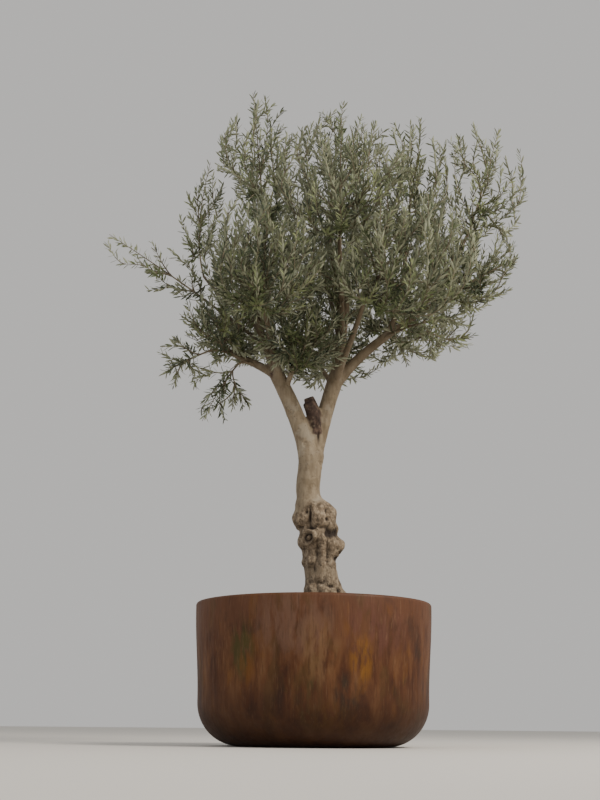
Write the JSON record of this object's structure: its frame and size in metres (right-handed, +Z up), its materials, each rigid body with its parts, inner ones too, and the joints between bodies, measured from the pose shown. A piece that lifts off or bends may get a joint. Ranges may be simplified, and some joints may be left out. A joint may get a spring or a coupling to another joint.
{
  "type": "potted olive tree",
  "caption": "Olive tree with a burred trunk, a fork into spreading boughs and an open crown of narrow grey-green leaves, in a round planter with a rusty finish.",
  "frame": {"origin": "middle of the planter's flat underside", "axes": "+Z up along the planter's axis, +X to the right and +Y away as the picture shows the tree"},
  "size_m": [2.2991, 1.6621, 3.5478],
  "materials": {
    "pot_finish": "satin",
    "soil": "matte",
    "bark": "matte",
    "foliage": "matte"
  },
  "bodies": {
    "root": {"bough_back_left": "bark", "bough_back_right": "bark", "bough_drooping": "bark", "bough_far_right": "bark", "bough_front_left": "bark", "bough_front_right": "bark", "bough_hanging": "bark", "bough_left": "bark", "bough_left_arm": "bark", "bough_left_shoots": "bark", "bough_low_back": "bark", "bough_low_left": "bark", "bough_low_mid": "bark", "bough_low_right": "bark", "bough_mid": "bark", "bough_mid_left": "bark", "bough_right": "bark", "bough_right_side": "bark", "bough_stub": "bark", "bough_top_back": "bark", "bough_top_front": "bark", "bough_top_left": "bark", "bough_top_mid": "bark", "bough_top_right": "bark", "foliage_back_left": "foliage", "foliage_back_right": "foliage", "foliage_drooping": "foliage", "foliage_far_right": "foliage", "foliage_front_left": "foliage", "foliage_front_right": "foliage", "foliage_hanging": "foliage", "foliage_left_arm": "foliage", "foliage_left_shoots": "foliage", "foliage_low_back": "foliage", "foliage_low_left": "foliage", "foliage_low_mid": "foliage", "foliage_low_right": "foliage", "foliage_mid": "foliage", "foliage_mid_left": "foliage", "foliage_right_side": "foliage", "foliage_top_back": "foliage", "foliage_top_front": "foliage", "foliage_top_left": "foliage", "foliage_top_mid": "foliage", "foliage_top_right": "foliage", "pot": "pot_finish", "soil": "soil", "trunk": "bark"}
  },
  "joints": []
}
